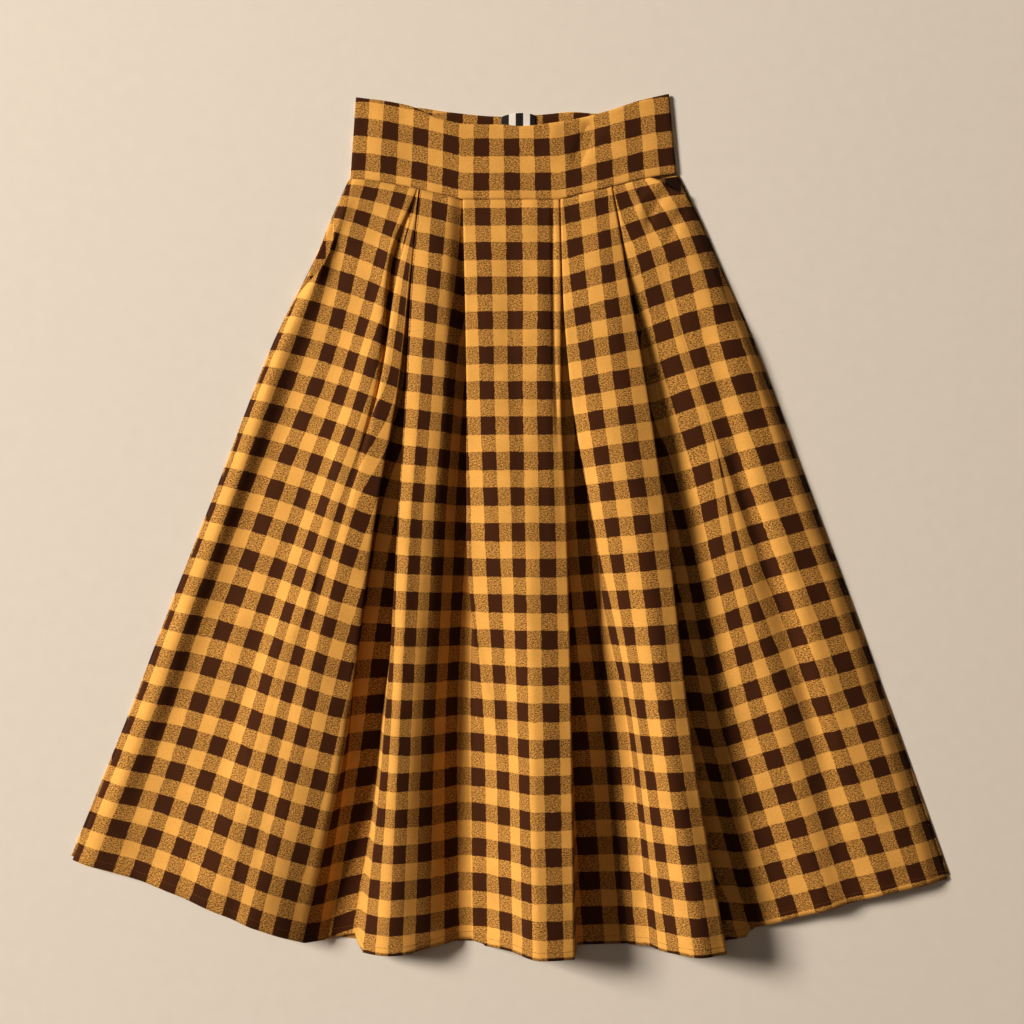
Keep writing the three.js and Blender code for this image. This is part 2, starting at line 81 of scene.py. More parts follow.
# Lines from waist to hem over the front, at each level: x and z in mm, and s, the number of check
# columns that the cloth has run past since the left edge of the middle panel
LINES = {
    "side_left": {"x": [-175, -203, -256, -311, -403, -476], "z": [3.4, 3.4, 2.0, 2.0, 2.0, 2.0],
        "s": [-26.1, -27.3, -28.3, -28.3, -28.4, -28.4]},
    "ridge_left": {"x": [-168, -193, -243, -294, -382, -453], "z": [5.2, 10, 12, 13, 13, 12],
        "s": [-25.6, -26.6, -27.5, -27.2, -27.2, -27.1]},
    "trough_left": {"x": [-157, -185, -222, -276, -362, -419], "z": [5.8, 8, 6, 6, 8, 10],
        "s": [-24.9, -25.5, -26.1, -25.9, -25.9, -25.4]},
    "face_left": {"x": [-123, -147, -174, -223, -296, -360], "z": [5.8, 12, 15, 17, 18, 22],
        "s": [-22.8, -23.0, -22.7, -22.5, -22.1, -21.9]},
    "tuck_lip": {"x": [-103.9, -133, -143.5, -185, -261, -306], "z": [5.8, 17, 24, 33.5, 35.5, 35.5],
        "s": [-21.3, -21.8, -19.9, -19.05, -19.6, -18.9]},
    "tuck": {"x": [-102.9, -127.5, -140.5, -179, -254, -298], "z": [5.8, 5.5, 18, 34, 36, 36],
        "s": [-21.0, -20.8, -19.65, -18.3, -19.1, -18.4]},
    "brow_left": {"x": [-101.8, -120, -136, -170, -218, -269], "z": [5.8, 15, 26, 37, 43, 40],
        "s": [-20.4, -19.7, -19.35, -17.2, -16.2, -16.0]},
    "edge_a": {"x": [-100.6, -109, -120, -145, -178, -224], "z": [5.8, 17, 26, 36, 40, 24],
        "s": [-19.3, -17.7, -17.9, -15.7, -13.4, -13.0]},
    "recess_1": {"x": [-100, -108.4, -117, -136, -158, -192], "z": [2.0, 2.4, 3.5, 5, 9, 5],
        "s": [-13.6, -12.9, -13.0, -11.5, -10.8, -10.8]},
    "edge_b": {"x": [-99.3, -107.5, -112.5, -121, -135, -159], "z": [5.8, 18, 28, 37, 40, 22],
        "s": [-8.1, -8.1, -8.1, -8.1, -8.7, -9.0]},
    "top_b": {"x": [-84, -91, -97, -107, -119, -131], "z": [5.8, 20, 32, 42, 48, 38],
        "s": [-6.9, -7.0, -7.0, -7.0, -7.0, -7.0]},
    "fall_b": {"x": [-69, -71, -73, -83, -91, -100], "z": [5.8, 17, 29, 37, 36, 30],
        "s": [-6.0, -5.6, -5.0, -5.0, -4.6, -4.8]},
    "valley_2": {"x": [-54.4, -52, -50, -52, -60, -56], "z": [2.0, 3, 5, 7, 4, 3.4],
        "s": [-5.0, -4.4, -2.8, -2.1, -2.0, -1.9]},
    "edge_c": {"x": [-53, -50.6, -48.6, -48.5, -32, -28], "z": [5.8, 14, 22, 24, 14, 8],
        "s": [0.2, 0.15, 0.05, -0.3, -0.2, -0.1]},
    "face_c": {"x": [-24, -21.5, -19, -14, -4, 1], "z": [5.8, 17, 27, 36, 34, 31],
        "s": [2.0, 2.0, 2.0, 2.0, 2.0, 2.0]},
    "top_c": {"x": [17, 18, 19, 21, 25, 29], "z": [5.8, 17, 28, 41, 57, 62],
        "s": [4.4, 4.4, 4.5, 4.5, 4.5, 4.5]},
    "edge_d": {"x": [51.4, 52.7, 52.4, 58, 62.5, 65], "z": [5.8, 15, 24, 36, 51, 56],
        "s": [6.4, 6.55, 6.6, 6.75, 6.75, 6.7]},
    "recess_3": {"x": [52, 54, 58.5, 74, 86.5, 93], "z": [2.0, 2.4, 4, 6, 6, 4],
        "s": [10.6, 10.5, 10.3, 11.4, 10.2, 9.6]},
    "edge_e": {"x": [52.6, 54.8, 63, 86.5, 126, 148], "z": [5.8, 14, 23, 26, 18, 16],
        "s": [14.8, 14.4, 14.1, 14.0, 12.8, 12.9]},
    "crease_e": {"x": [63, 71, 85, 105, 140, 165], "z": [5.8, 16, 28, 37, 42, 40],
        "s": [15.5, 15.5, 15.5, 15.5, 15.4, 15.0]},
    "top_e": {"x": [87, 98, 113, 135, 165, 198], "z": [5.8, 18, 30, 43, 57, 62],
        "s": [16.9, 17.1, 17.3, 17.4, 17.4, 17.4]},
    "edge_f": {"x": [108.2, 123, 142, 163, 189, 225], "z": [5.8, 15, 25, 36, 50, 52],
        "s": [18.4, 19.0, 19.0, 19.0, 18.9, 18.9]},
    "recess_4": {"x": [109, 124.2, 148.5, 172, 203, 241], "z": [2.0, 2.4, 3, 4, 5, 4],
        "s": [22.4, 22.6, 24.6, 22.8, 21.1, 19.8]},
    "edge_g": {"x": [109.6, 125.4, 155, 187.5, 226, 265], "z": [5.8, 10, 7, 7, 9, 7],
        "s": [25.1, 24.4, 24.6, 24.1, 22.8, 21.5]},
    "shut_g": {"x": [131.2, 154.2, 190.2, 226, 272, 322], "z": [5.8, 11, 13.9, 16.9, 18, 17],
        "s": [27.2, 26.2, 26.8, 26.6, 25.7, 24.75]},
    "ridge_g": {"x": [132, 155, 191, 236, 287, 337], "z": [5.8, 11, 14, 17, 20, 19],
        "s": [29.3, 28.3, 28.8, 28.6, 26.6, 25.6]},
    "trough_g": {"x": [145, 172, 205, 249, 316, 364], "z": [5.8, 12, 16, 14, 15, 15],
        "s": [30.1, 29.3, 29.7, 29.5, 28.4, 27.2]},
    "ridge_h": {"x": [158, 190, 226, 266, 339, 402], "z": [5.8, 13, 17, 19, 19, 17],
        "s": [31.0, 30.4, 31.0, 30.5, 29.9, 29.2]},
    "brow_right": {"x": [170, 203, 248, 299, 382, 450], "z": [5.2, 10, 13, 13, 13, 12],
        "s": [31.6, 31.5, 32.0, 32.2, 32.2, 32.2]},
    "side_right": {"x": [178, 213.5, 262, 316, 400, 472], "z": [3.4, 3.4, 2.0, 2.0, 2.0, 2.0],
        "s": [32.1, 31.9, 33.2, 33.3, 33.3, 33.6]},
}
PANELS = [
    {
        "lines": [
            "side_left", "ridge_left", "trough_left", "face_left", "tuck_lip", "tuck", "brow_left", "edge_a",
        ],
        "steps": 6,
        "hem": "left_outer",
    },
    {"lines": ["edge_b", "top_b", "fall_b", "valley_2"], "steps": 8, "hem": "front"},
    {"lines": ["edge_c", "face_c", "top_c", "edge_d"], "steps": 18, "hem": "front"},
    {"lines": ["edge_e", "crease_e", "top_e", "edge_f"], "steps": 9, "hem": "front"},
    {
        "lines": ["edge_g", "shut_g", "ridge_g", "trough_g", "ridge_h", "brow_right", "side_right"],
        "steps": 8,
        "hem": "right_outer",
    },
]
# Hidden cloth behind the folded edges to the left and right of each pleat, level by level. Where
# it is negative the fold has opened and slopes down that far from the edge.
PLEATS = [
    {
        "from": "edge_a",
        "floor": "recess_1",
        "to": "edge_b",
        "left": [44, 40, 36, 18, -4, -22],
        "right": [34, 34, 30, 12, -8, -9],
    },
    {
        "from": "valley_2",
        "floor": "valley_2",
        "to": "edge_c",
        "left": None,
        "right": [44, 38, 23, 12, -14, -14],
    },
    {
        "from": "edge_d",
        "floor": "recess_3",
        "to": "edge_e",
        "left": [40, 38, 34, 7, -3, -6],
        "right": [12, 13, 13, 4, -25, -22],
    },
    {
        "from": "edge_f",
        "floor": "recess_4",
        "to": "edge_g",
        "left": [38, 38, 30, 12, -3, -6],
        "right": [20, 12, -3, -6, -10, -10],
    },
]
PLEAT_SHUTS = (-2, 4)  # a pleat's edge turns under between these two depths of hidden cloth
# How far a check row climbs above its height at the centre, at each level
CLIMB = {
    "side_left": [23, 52, 55, 60, 55, 70],
    "edge_b": [11, 12, 9, 5, 2, -3],
    "edge_f": [14, 18, 16, 11, 4, 4],
    "side_right": [28, 48, 50, 52, 56, 55],
}
ARC = 1.18  # bend of the climb over the outer panels, in radians
# Share of the climb that the inner part of an outer panel lacks, at each level
SAG = {"left": [0, 0, 0, 0.17, 0.32, 0.5], "right": [0, 0, 0, 0.16, 0.27, 0.27]}
SAG_STARTS = 0.2
SHUT_TUCK = {"opens": (250, 430), "behind": 0.5, "falls": 14.5, "columns": 2.03}
# Where the front lifts off the back at the pocket mouths: at is the middle, below the waist seam
LEFT_MOUTH = {"at": 110.0, "reach": 50.0, "gape": 13.0, "rise": 5.0}
RIGHT_MOUTH = {"at": 14.0, "reach": 40.0, "bulge": -3.0, "rise": 5.0, "drop": 28.0, "inward": 30.0}
# Facings that show in the pocket mouths. A shade below 1 is painted shade: the right facing is drawn darker
# than the light makes it, deep in its mouth, as the pocket bag that would shade it is not built.
FACINGS = {
    "left": {"from": 4.0, "to": 164.0, "width": 30.0, "across": -2.0, "down": 3.0, "shade": 1.0},
    "right": {"from": 3.0, "to": 78.0, "width": 30.0, "across": 21.0, "down": 0.0, "shade": 0.3},
}
# Where the weave starts on the back and on the halves of the back band
BACK_WEAVE = 8.5
BAND_WEAVE = {"left": 62.0, "right": -42.0, "down": 404.0}

# Upper edges of the waistband, as points (x, y) in the drafting axes
FRONT_TOP = [
    (-169, 449.4), (-111.5, 439.6), (-78, 425.3), (-43, 419.2), (-10, 419.0), (9, 417.4), (40, 420.6),
    (77, 426.9), (106, 434.5), (135, 444.1), (170, 453.1),
]
BACK_TOP = [
    (-168.5, 447.5), (-111.5, 439.2), (-98, 438.0), (-69.5, 433.7), (-13, 428.8), (36, 431.2),
    (66, 433.9), (91, 432.0), (135, 441.0), (169.5, 450.5),
]

# Small creases and soft troughs over the front: points are (x, y) in the drafting axes, depth
# and width in mm. A negative depth is a ridge.
CREASES = {
    "tuck_crest": {"depth": -1.7, "width": 3.0,
        "path": [(-158, 160), (-171, 101), (-198, -15), (-230, -160)]},
    "tuck_fall": {"depth": 1.4, "width": 6.0, "path": [(-180, 110), (-206, 22), (-226, -55), (-250, -170)]},
    "tuck_tail": {"depth": -1.6, "width": 6.0,
        "path": [(-228, -150), (-255, -233), (-272, -315), (-284, -420)]},
    "centre_crest": {"depth": -2.0, "width": 5.0,
        "path": [(-48, -105), (-32, -170), (-12, -248), (-1, -325)]},
    "centre_crest_low": {"depth": -1.8, "width": 6.0, "path": [(-1, -325), (7, -400), (22, -470)]},
    "right_crest": {"depth": -2.2, "width": 5.0,
        "path": [(124, -118), (134, -220), (144, -345), (158, -462)]},
    "right_fall": {"depth": 2.0, "width": 7.0, "path": [(112, -118), (121, -220), (130, -345), (143, -462)]},
    "edge_beside": {"depth": 2.4, "width": 1.9, "path": [(43.5, 352), (44.5, 250), (45, 170), (49, 60)]},
    "outer_trough": {"depth": 3.0, "width": 10.0,
        "path": [(225, 101), (268, -20), (312, -170), (348, -315)]},
    "outer_ridge": {"depth": -2.0, "width": 9.0, "path": [(243, 101), (288, -20), (332, -170), (372, -315)]},
    "pocket_pull_1": {"depth": 2.6, "width": 4.0, "path": [(178, 352), (163, 342), (150, 322), (146, 300)]},
    "pocket_pull_2": {"depth": -2.2, "width": 4.5, "path": [(172, 362), (154, 352), (140, 336), (136, 312)]},
    "pocket_pull_3": {"depth": 2.0, "width": 5.0, "path": [(190, 330), (176, 312), (166, 286)]},
    "mouth_roll": {"depth": -3.0, "width": 4.0,
        "path": [(-193, 318), (-199, 290), (-204, 268), (-212, 243)]},
    "mouth_drag": {"depth": 2.4, "width": 6.0, "path": [(-190, 306), (-184, 270), (-196, 236), (-210, 205)]},
    "left_soft_1": {"depth": 3.4, "width": 13.0,
        "path": [(-222, 180), (-245, 90), (-276, 0), (-326, -140), (-372, -235)]},
    "left_hollow": {"depth": 2.4, "width": 12.0,
        "path": [(-332, -150), (-370, -228), (-402, -297), (-424, -350)]},
    "left_soft_2": {"depth": 1.8, "width": 11.0, "path": [(-215, 60), (-250, -60), (-300, -190)]},
    "left_soft_3": {"depth": -1.8, "width": 12.0,
        "path": [(-190, 230), (-215, 140), (-250, 40), (-296, -90)]},
    "right_soft_1": {"depth": 1.8, "width": 12.0, "path": [(196, 220), (230, 120), (280, 0), (330, -120)]},
    "right_soft_2": {"depth": -1.6, "width": 11.0, "path": [(236, 240), (272, 130), (326, 0), (384, -140)]},
    "inner_soft": {"depth": 1.4, "width": 7.0,
        "path": [(-92, 120), (-100, -30), (-112, -200), (-118, -380)]},
    "middle_soft_1": {"depth": 1.2, "width": 9.0, "path": [(4, 320), (-2, 200), (8, 80), (10, -60)]},
    "middle_soft_2": {"depth": -1.2, "width": 8.0, "path": [(30, 300), (34, 180), (40, 40), (46, -90)]},
}
BAND_CREASES = {
    "dip": {"depth": 4.2, "width": 8.5, "path": [(89, 425), (82, 408), (75, 390), (67, 368)]},
    "dip_side": {"depth": -1.1, "width": 8.0, "path": [(48, 424), (44, 402), (38, 372)]},
    "bow_left": {"depth": 0.9, "width": 14.0, "path": [(-120, 436), (-112, 400), (-104, 366)]},
    "bow_right": {"depth": -0.9, "width": 13.0, "path": [(118, 434), (116, 400), (112, 366)]},
}


def linear(code):
    """An sRGB hex colour as the linear numbers that a shader takes."""
    parts = [int(code[i : i + 2], 16) / 255 for i in (0, 2, 4)]
    return tuple(c / 12.92 if c <= 0.04045 else ((c + 0.055) / 1.055) ** 2.4 for c in parts)


def size(name, text, default):
    return bpy.props.FloatProperty(
        name=name, description=text, default=default, min=0.0, unit="LENGTH", precision=5
    )


def colour(name, text, code):
    return bpy.props.FloatVectorProperty(
        name=name, description=text, default=linear(code), size=3, min=0.0, max=1.0, subtype="COLOR"
    )


class SkirtSizes(bpy.types.PropertyGroup):
    """Real sizes of the skirt's cloth and sewing"""

    check_width: size("Check width", "Width of one column of the woven check", 0.017)
    check_height: size("Check height", "Height of one row of the woven check", 0.0189)
    cloth: size("Cloth thickness", "Thickness of the brushed cotton", 0.0007)
    hem: size("Hem depth", "Depth of the turned-up hem", 0.010)
    stitch: size("Stitch pitch", "Distance from one stitch to the next", 0.0032)
    thread: size("Thread", "Thickness of the sewing thread", 0.0004)
    camera_height: size("Camera height", "Height of the camera over the surface", 1.55)


class SkirtColours(bpy.types.PropertyGroup):
    """Colours of the skirt and its stage"""

    mustard: colour("Mustard", "Light yarn of the check", "E4AE5E")
    brown: colour("Brown", "Dark yarn of the check", "47260F")
    thread: colour("Thread", "Sewing thread", "7A5426")
    tape: colour("Zip tape", "Tape of the zip", "3A2620")
    label: colour("Label", "Ground of the label", "15120F")
    label_block: colour("Label block", "Plain blocks woven on the label", "F2EFEA")
    floor: colour("Floor", "Surface that the skirt lies on", "E6E2DC")


def smooth(low, high, value):
    f = np.clip((value - low) / (high - low), 0.0, 1.0)
    return f * f * (3 - 2 * f)


def mix(a, b, f):
    return a + (b - a) * f


def tangents(stations, values):
    """Slopes at the stations of a curve that never overshoots its values. Axis 0 is the station."""
    slopes = np.diff(values, axis=0) / np.diff(stations, axis=0)
    out = np.empty_like(values, dtype=float)
    out[0] = slopes[0]
    out[-1] = slopes[-1]
    product = slopes[:-1] * slopes[1:]
    total = slopes[:-1] + slopes[1:]
    safe = np.where(np.abs(total) < 1e-12, 1.0, total)
    out[1:-1] = np.where(product <= 0, 0.0, 2 * product / safe)
    return out


def hermite(a, b, ta, tb, step, f):
    g = 1 - f
    return a * g * g * (1 + 2 * f) + b * f * f * (3 - 2 * f) + step * f * g * (ta * g - tb * f)


def through(stations, values, at):
    """Value at each place of a smooth curve through rising stations."""
    stations = np.asarray(stations, float)
    values = np.asarray(values, float)
    slope = tangents(stations, values)
    at = np.clip(np.asarray(at, float), stations[0], stations[-1])
    i = np.clip(np.searchsorted(stations, at, side="right") - 1, 0, len(stations) - 2)
    step = stations[i + 1] - stations[i]
    return hermite(values[i], values[i + 1], slope[i], slope[i + 1], step, (at - stations[i]) / step)


def level(values, t):
    return through(LEVELS, values, t)


def reading(t, hem):
    """Where the tables are read for a point t below the seam: they end at the hem."""
    start = LEVELS[-2]
    return np.where(t <= start, t, start + (t - start) * (LEVELS[-1] - start) / (hem - start))


def row_y(x, t, u):
    """y of a point on the check row that lies t below the waist seam."""

    def pick(left, right):
        return np.where(x < 0, level(left, u), level(right, u))

    edge = pick(LINES["edge_b"]["x"], LINES["edge_f"]["x"])
    inner = pick(LINES["edge_c"]["x"], LINES["edge_d"]["x"])
    outer = pick(LINES["side_left"]["x"], LINES["side_right"]["x"])
    at_edge = pick(CLIMB["edge_b"], CLIMB["edge_f"])
    at_side = pick(CLIMB["side_left"], CLIMB["side_right"])
    out = (x - edge) / (outer - edge)
    sag = pick(SAG["left"], SAG["right"]) * (1 - out) * smooth(0, SAG_STARTS, out)
    far = mix(at_edge, at_side, np.sin(np.clip(out, 0, 1.2) * ARC) / math.sin(ARC) - sag)
    near = at_edge * np.clip((x - inner) / (edge - inner), 0, 1)
    return SEAM_Y - t + np.where(out > 0, far, near)


def length_along(x, z):
    """How far along a section each of its points lies, for every reading."""
    steps = np.hypot(np.diff(x, axis=0), np.diff(z, axis=0))
    return np.concatenate([np.zeros_like(x[:1]), np.cumsum(steps, axis=0)])


def panel_rows(panel, u):
    """x, z and s of one panel's points at each reading u, one row of arrays for each point."""
    xs, zs, ss = (np.array([level(LINES[n][axis], u) for n in panel["lines"]]) for axis in "xzs")
    if panel["lines"][0] == "side_left":
        gaping = 1 - smooth(0, LEFT_MOUTH["reach"], np.abs(u - LEFT_MOUTH["at"]))
        xs[0] += LEFT_MOUTH["gape"] * gaping
        zs[0] += LEFT_MOUTH["rise"] * gaping
    if panel["lines"][0] == "edge_g":
        gaping = 1 - smooth(0, RIGHT_MOUTH["reach"], np.abs(u - RIGHT_MOUTH["at"]))
        xs[-1] += RIGHT_MOUTH["bulge"] * gaping
        zs[-1] += RIGHT_MOUTH["rise"] * gaping
        # a tuck of two checks stays shut along the ridge and only opens lower down
        opened = smooth(*SHUT_TUCK["opens"], u)
        shut, ridge = panel["lines"].index("shut_g"), panel["lines"].index("ridge_g")
        xs[shut] = xs[ridge] - SHUT_TUCK["behind"] - SHUT_TUCK["falls"] * opened
        zs[shut] = mix(zs[ridge], zs[shut], opened)
        ss[shut] = mix(ss[ridge] - SHUT_TUCK["columns"], ss[shut], opened)
    steps = panel["steps"]
    rise = tangents(xs, zs)
    x, z = [], []
    for k in range(len(xs) - 1):
        for step in range(steps):
            f = step / steps
            x.append(mix(xs[k], xs[k + 1], f))
            z.append(hermite(zs[k], zs[k + 1], rise[k], rise[k + 1], xs[k + 1] - xs[k], f))
    x, z = np.array(x + [xs[-1]]), np.array(z + [zs[-1]])
    run = length_along(x, z)
    at_lines = run[::steps]
    turn = tangents(at_lines, ss)
    s = np.empty_like(x)
    for k in range(len(xs) - 1):
        span = at_lines[k + 1] - at_lines[k]
        for step in range(steps):
            i = k * steps + step
            f = (run[i] - at_lines[k]) / span
            s[i] = hermite(ss[k], ss[k + 1], turn[k], turn[k + 1], span, f)
    s[-1] = ss[-1]
    return x, z, s


def fold_at(line, u, floor_z, underlap, side):
    """Five points of a pleat's hidden side: two round the folded edge, three round its end."""
    edge_x, edge_z = level(LINES[line]["x"], u), level(LINES[line]["z"], u)
    shut = smooth(*PLEAT_SHUTS, underlap)
    end = edge_x + side * underlap
    length = np.hypot(end - edge_x, floor_z - edge_z)
    dx, dz = (end - edge_x) / length, (floor_z - edge_z) / length

    def along(reach):
        return edge_x + dx * reach * TURN, edge_z + dz * reach * TURN

    # each point of an open fold, then the same point where the pleat is shut
    pairs = [
        (along(1.2), (edge_x, edge_z - TURN)),
        (along(3), (edge_x + side * TURN, edge_z - 2 * TURN)),
        ((end + side * 1.5 * TURN, floor_z + 3 * TURN), (end - side * TURN, floor_z + 2 * TURN)),
        ((end, floor_z + 0.9 * TURN), (end, floor_z + TURN)),
        ((end - side * 2 * TURN, floor_z), (end - side * TURN, floor_z)),
    ]
    return [(mix(a[0], b[0], shut), mix(a[1], b[1], shut)) for a, b in pairs]


def front_rows(u):
    """x, z, s and hem length of every column of the front, at each reading u."""
    xs, zs, ss, hems = [], [], [], []
    for index, panel in enumerate(PANELS):
        x, z, s = panel_rows(panel, u)
        before = PLEATS[index - 1] if index else None
        after = PLEATS[index] if index < len(PLEATS) else None
        if before:
            x[0] += TURN * smooth(*PLEAT_SHUTS, level(before["right"], u))
        if after and after["left"]:
            x[-1] -= TURN * smooth(*PLEAT_SHUTS, level(after["left"], u))
        hem = HEM[panel["hem"]]
        for k in range(len(x)):
            near = smooth(0.4, 1, k / (len(x) - 1)) if index == 1 else 0.0
            hems.append(mix(hem, HEM["valley"], near))
        xs += list(x)
        zs += list(z)
        ss += list(s)
        if not after:
            continue
        floor_z = level(LINES[after["floor"]]["z"], u)
        points = []
        if after["left"]:
            points += fold_at(after["from"], u, floor_z, level(after["left"], u), -1)
            middle = len(points)
            points.append((level(LINES[after["floor"]]["x"], u), floor_z))
        else:
            middle = -1
        line = LINES[after["to"]]
        points += fold_at(after["to"], u, floor_z, level(after["right"], u), 1)[::-1]
        # s runs evenly along the hidden cloth, from edge to floor and from floor to edge
        px = np.array([xs[-1]] + [p[0] for p in points] + [level(line["x"], u)])
        pz = np.array([zs[-1]] + [p[1] for p in points] + [level(line["z"], u)])
        run = length_along(px, pz)
        s_from, s_to = ss[-1], level(line["s"], u)
        s_floor = level(LINES[after["floor"]]["s"], u)
        for k, (x, z) in enumerate(points):
            if middle >= 0 and k <= middle:
                s = mix(s_from, s_floor, run[k + 1] / run[middle + 1])
            elif middle >= 0:
                s = mix(s_floor, s_to, (run[k + 1] - run[middle + 1]) / (run[-1] - run[middle + 1]))
            else:
                s = mix(s_from, s_to, run[k + 1] / run[-1])
            xs.append(x)
            zs.append(z)
            ss.append(s)
            following = HEM[PANELS[index + 1]["hem"]]
            start = hems[-1] if k == 0 else start
            hems.append(mix(start, following, smooth(0.45, 1, (k + 1) / len(points))))
    return np.array(xs), np.array(zs), np.array(ss), np.array(hems)


def to_path(x, y, path):
    """Distance of each point from a path in plan, and how far along the path it lies, 0 to 1."""
    best = np.full(x.shape, 1e9)
    along = np.zeros(x.shape)
    total = sum(math.dist(a, b) for a, b in zip(path, path[1:]))
    gone = 0.0
    for (ax, ay), (bx, by) in zip(path, path[1:]):
        length = math.hypot(bx - ax, by - ay)
        f = np.clip(((x - ax) * (bx - ax) + (y - ay) * (by - ay)) / length**2, 0, 1)
        away = np.hypot(x - mix(ax, bx, f), y - mix(ay, by, f))
        nearer = away < best
        best = np.where(nearer, away, best)
        along = np.where(nearer, (gone + f * length) / total, along)
        gone += length
    return best, along


def relief(x, y, creases):
    """How far creases lift or sink the cloth at each point, in mm."""
    lift = np.zeros(x.shape)
    for crease in creases.values():
        away, along = to_path(x, y, crease["path"])
        fade = smooth(0, 0.18, along) * smooth(0, 0.25, 1 - along)
        lift -= crease["depth"] * np.exp(-((away / crease["width"]) ** 2)) * fade
    return lift


def soft_noise(x, y, scale, seed):
    """Smooth noise from -1 to 1 over the plan."""
    flat = [noise.noise(Vector((a / scale, b / scale, seed))) for a, b in zip(x.ravel(), y.ravel())]
    return np.array(flat).reshape(x.shape)


def sheet_normals(x, y, z):
    """Unit normals of a grid of points whose rows run down and columns run right."""
    p = np.stack([x, y, z], axis=-1)
    normal = np.cross(np.gradient(p, axis=1), np.gradient(p, axis=0) * -1)
    return normal / np.maximum(np.linalg.norm(normal, axis=-1, keepdims=True), 1e-9)


def place_object(name, data):
    """An object of this mesh, lamp or camera, put into the scene."""
    obj = bpy.data.objects.new(name, data)
    bpy.context.scene.collection.objects.link(obj)
    return obj


def new_piece(name, vertices, faces, uvs, material, node):
    """A mesh in the row frame from drafting mm, riding on the one body and standing for its node."""
    mesh = bpy.data.meshes.new(name)
    v = np.asarray(vertices, float) * MM
    v[:, 0] -= ORIGIN[0] * MM
    v[:, 1] -= ORIGIN[1] * MM
    mesh.from_pydata(v.tolist(), [], faces)
    if uvs is not None:
        layer = mesh.uv_layers.new(name="weave")
        loop_vertex = np.empty(len(mesh.loops), dtype=np.int32)
        mesh.loops.foreach_get("vertex_index", loop_vertex)
        layer.data.foreach_set("uv", (np.asarray(uvs, float) * MM)[loop_vertex].ravel())
    mesh.validate()
    mesh.shade_smooth()
    mesh.materials.append(material)
    obj = place_object(name, mesh)
    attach(obj, "root")
    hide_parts(node)
    return obj


def grid_faces(rows, columns):
    """Quads of a grid of vertices whose rows run down, facing up."""
    faces = []
    for i in range(rows - 1):
        for a in range(i * columns, i * columns + columns - 1):
            faces.append((a, a + columns, a + columns + 1, a + 1))
    return faces


def closed_sheet(upper, lower):
    """Vertices and faces of a sheet with thickness, from two equal grids of points."""
    rows, columns = upper.shape[:2]
    count = rows * columns
    faces = grid_faces(rows, columns)
    faces += [tuple(count + i for i in reversed(f)) for f in grid_faces(rows, columns)]
    last_row, last = count - columns, columns - 1
    for a in range(0, last_row, columns):
        b, c = a + last, a + last + columns
        faces.append((a, count + a, count + a + columns, a + columns))
        faces.append((b, c, count + c, count + b))
    for j in range(last):
        k = last_row + j
        faces.append((j, j + 1, count + j + 1, count + j))
        faces.append((k, count + k, count + k + 1, k + 1))
    return np.concatenate([upper.reshape(-1, 3), lower.reshape(-1, 3)]), faces


def add_node(tree, kind, settings=None, inputs=None):
    """Adds a node with its settings, and sets or links its inputs. Returns the node."""
    node = tree.nodes.new(kind)
    for key, value in (settings or {}).items():
        setattr(node, key, value)
    for key, value in (inputs or {}).items():
        if isinstance(value, bpy.types.NodeSocket):
            tree.links.new(value, node.inputs[key])
        else:
            node.inputs[key].default_value = value
    return node


def maths(tree, operation, *values, clamp=False):
    """A Math node on sockets or plain numbers. Returns its output."""
    settings = {"operation": operation, "use_clamp": clamp}
    return add_node(tree, "ShaderNodeMath", settings, dict(enumerate(values))).outputs[0]


def cloud(tree, place, scale, detail, roughness=0.5):
    """A Noise Texture node. Returns its strength."""
    inputs = {"Vector": place, "Scale": scale, "Detail": detail, "Roughness": roughness}
    return add_node(tree, "ShaderNodeTexNoise", {}, inputs).outputs["Fac"]


def spread(tree, value, source, target):
    """A Map Range node from one pair of numbers to another. Returns its result."""
    inputs = {"Value": value, "From Min": source[0], "From Max": source[1]}
    inputs.update({"To Min": target[0], "To Max": target[1]})
    return add_node(tree, "ShaderNodeMapRange", {}, inputs).outputs["Result"]


def weave_place(tree):
    """Place on the cloth in mm, from the piece's own map."""
    uv = add_node(tree, "ShaderNodeUVMap", {"uv_map": "weave"})
    scaled = add_node(tree, "ShaderNodeMapping", {}, {"Vector": uv.outputs[0], "Scale": (1 / MM,) * 3})
    return scaled.outputs[0]


def bump_of(tree, height, strength, distance):
    """A Bump node. Returns its normal."""
    inputs = {"Height": height, "Strength": strength, "Distance": distance}
    return add_node(tree, "ShaderNodeBump", {}, inputs).outputs[0]


def toned(tree, colour, value):
    """A colour made lighter or darker by a value round 1. Returns it."""
    inputs = {"Color": colour, "Value": value}
    return add_node(tree, "ShaderNodeHueSaturation", {}, inputs).outputs[0]


def blend(tree, share, first, second):
    """Two plain colours, mixed by a share from 0 to 1. Returns the mix."""
    node = add_node(tree, "ShaderNodeMix", {"data_type": "RGBA"}, {"Factor": share})
    node.inputs["A"].default_value = (*first, 1)
    node.inputs["B"].default_value = (*second, 1)
    return node.outputs["Result"]


def close_material(tree, colour, **inputs):
    """Joins a principled shader of this colour to the material's output. Returns the shader."""
    values = {"Base Color": colour, **{key.replace("_", " "): value for key, value in inputs.items()}}
    shader = add_node(tree, "ShaderNodeBsdfPrincipled", {}, values)
    add_node(tree, "ShaderNodeOutputMaterial", {}, {"Surface": shader.outputs[0]})
    return shader


def new_material(name):
    """An empty node material, or None where it is made already."""
    if name in bpy.data.materials:
        return None
    material = bpy.data.materials.new(name)
    material.use_nodes = True
    material.node_tree.nodes.clear()
    return material


